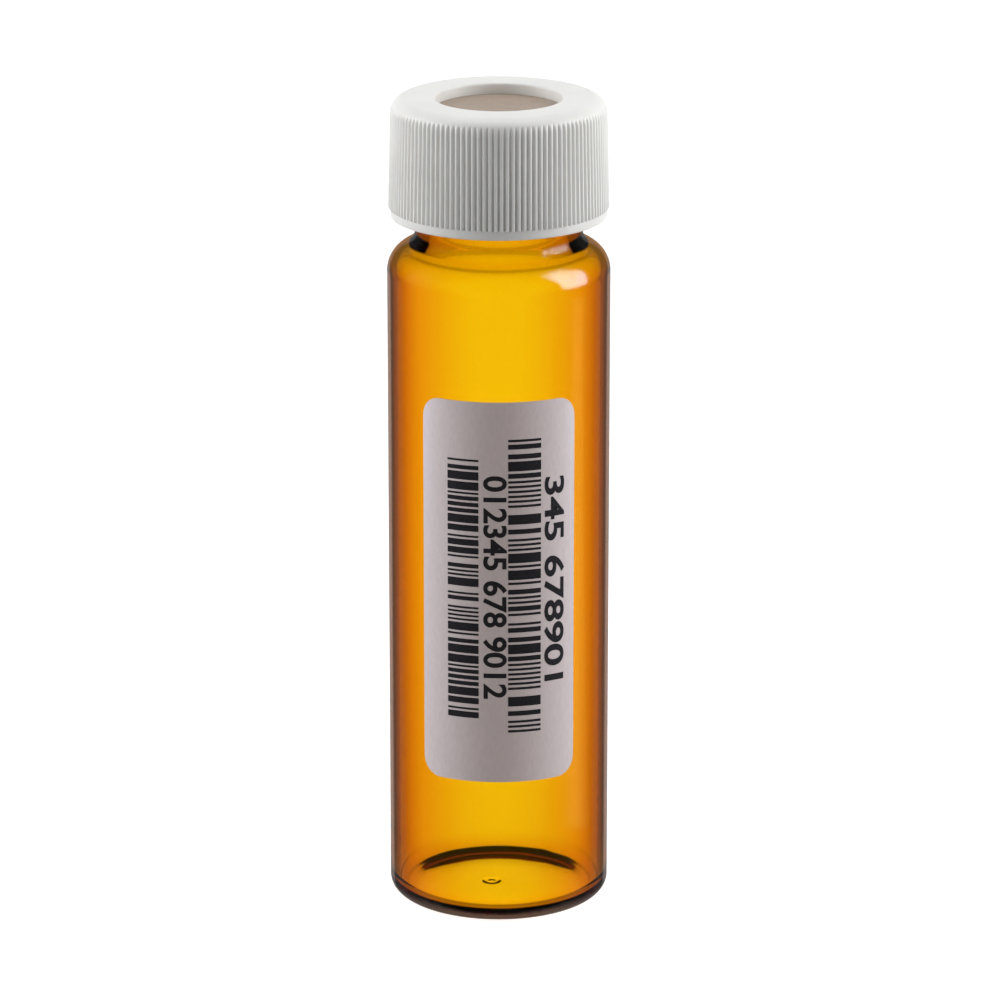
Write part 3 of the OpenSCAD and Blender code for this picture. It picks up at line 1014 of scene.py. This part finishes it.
def place_camera(stage):
    """The camera, level with its settings and turned down by its tilt."""
    data = bpy.data.cameras.new("camera")
    data.lens = stage.camera_lens
    data.sensor_width = 36
    data.clip_start = 10 * MM
    camera = bpy.data.objects.new("camera", data)
    camera.location = (stage.camera_aside, -stage.camera_back, stage.camera_up)
    camera.rotation_euler = (math.radians(90) - stage.camera_tilt, 0, 0)
    bpy.context.scene.collection.objects.link(camera)
    bpy.context.scene.camera = camera


def lay_floor(stage):
    """The floor, a hair below the vial so that it doesn't lie in the same plane as the standing ring."""
    half, level = 3.0, -0.05 * MM
    corners = [(-half, -half, level), (half, -half, level), (half, half, level), (-half, half, level)]
    piece("floor", corners, [(0, 1, 2, 3)], floor_material(stage), 40)


def hang_lamps(stage):
    """Three soft lamps, two cool ones for the label, and two that the glass mirrors as highlights."""
    middle = (0, 0, 0.06)
    area_lamp("lamp_right", (0.62, -0.03, 0.30), middle, (0.26, 0.62), stage.right_power)
    area_lamp("lamp_left", (-0.60, -0.01, 0.30), middle, (0.45, 0.62), stage.left_power)
    area_lamp("lamp_top", (0, 0.1, 0.75), middle, (0.7, 0.5), stage.top_power)
    label = lit_alone("labelled", "label_film", "label_print")
    cool, label_middle = (0.6, 0.78, 1.0), (0, 0, 0.045)
    for name, side in (("label_right", 1), ("label_left", -1)):
        area_lamp(name, (0.3 * side, 0.02, 0.06), label_middle, (0.2, 0.3), stage.label_power, cool, label)
    glass = lit_alone("glassware", "glass_body")
    mirror_lamp("glint", (0.60, -0.06, 0.33), middle, (0.45, 0.8), stage.glint, glass)
    beside, wall = (0.030, -0.010, 0.040), (0, -0.010, 0.051)
    strip = mirror_lamp("strip", beside, wall, (0.010, 0.068), stage.strip, glass, (0.8, 0.9, 0.3))
    strip.data.spread = math.radians(50)


def build_stage(stage):
    """Camera, floor, lamps and an even white surround, which shows painted shade to light turned back in the
    glass.
    """
    scene = bpy.context.scene
    scene.view_settings.view_transform = "Standard"
    place_camera(stage)
    lay_floor(stage)
    hang_lamps(stage)
    scene.world = bpy.data.worlds.new("surround")
    tree = Tree(scene.world)
    level, _kept, shade_hue = seen_level(tree, stage.sky, 1.0, 1.0)
    tree.feed(tree.nodes["Background"], {"Strength": level, "Color": shade_hue})


# ---------------------------------------------------------------- operators and panel


class VIAL_OT_glass(bpy.types.Operator):
    """Builds the glass body with its shoulder, threaded neck and base"""

    bl_idname = "vial.glass"
    bl_label = "Glass"

    def execute(self, context):
        fit(build_glass(context.scene.vial_glass), "vial", "glass_vial")
        return {"FINISHED"}


class VIAL_OT_cap(bpy.types.Operator):
    """Builds the ribbed screw cap"""

    bl_idname = "vial.cap"
    bl_label = "Screw cap"

    def execute(self, context):
        fit(build_cap(context.scene.vial_cap, context.scene.vial_glass), "cap", "screw_cap")
        return {"FINISHED"}


class VIAL_OT_septum(bpy.types.Operator):
    """Builds the septum under the cap's hole"""

    bl_idname = "vial.septum"
    bl_label = "Septum"

    def execute(self, context):
        fit(build_septum(context.scene.vial_septum), "septum", "septum")
        return {"FINISHED"}


class VIAL_OT_label(bpy.types.Operator):
    """Builds the label's film and its print"""

    bl_idname = "vial.label"
    bl_label = "Label"

    def execute(self, context):
        fit(build_label(context.scene.vial_label), "vial", "label")
        fit(build_print(context.scene.vial_label), "vial")
        return {"FINISHED"}


class VIAL_OT_stage(bpy.types.Operator):
    """Sets up the camera, the lamps and the floor"""

    bl_idname = "vial.stage"
    bl_label = "Stage"

    def execute(self, context):
        build_stage(context.scene.vial_stage)
        return {"FINISHED"}


class VIAL_PT_parts(bpy.types.Panel):
    """Lists the vial's pieces and their settings"""

    bl_idname = "VIAL_PT_parts"
    bl_label = "Sample vial"
    bl_space_type = "VIEW_3D"
    bl_region_type = "UI"
    bl_category = "Vial"

    def draw(self, context):
        for operator, settings in PARTS:
            box = self.layout.box()
            box.operator(operator.bl_idname)
            group = getattr(context.scene, settings)
            for name in group.__annotations__:
                box.prop(group, name)


PARTS = (
    (VIAL_OT_stage, "vial_stage"),
    (VIAL_OT_glass, "vial_glass"),
    (VIAL_OT_cap, "vial_cap"),
    (VIAL_OT_septum, "vial_septum"),
    (VIAL_OT_label, "vial_label"),
)
SETTINGS = {
    "vial_stage": VialStageSettings,
    "vial_glass": VialGlassSettings,
    "vial_cap": VialCapSettings,
    "vial_septum": VialSeptumSettings,
    "vial_label": VialLabelSettings,
}
CLASSES = (*SETTINGS.values(), *(operator for operator, _settings in PARTS), VIAL_PT_parts)


def register():
    """Adds the classes, and each group of settings to the scene."""
    for kind in CLASSES:
        bpy.utils.register_class(kind)
    for name, group in SETTINGS.items():
        setattr(bpy.types.Scene, name, PointerProperty(type=group))


def unregister():
    """Takes them away again."""
    for name in SETTINGS:
        delattr(bpy.types.Scene, name)
    for kind in reversed(CLASSES):
        bpy.utils.unregister_class(kind)


def main():
    """Builds every piece, then the stage."""
    register()
    bpy.ops.vial.glass()
    bpy.ops.vial.cap()
    bpy.ops.vial.septum()
    bpy.ops.vial.label()
    bpy.ops.vial.stage()


if __name__ == "__main__":
    main()
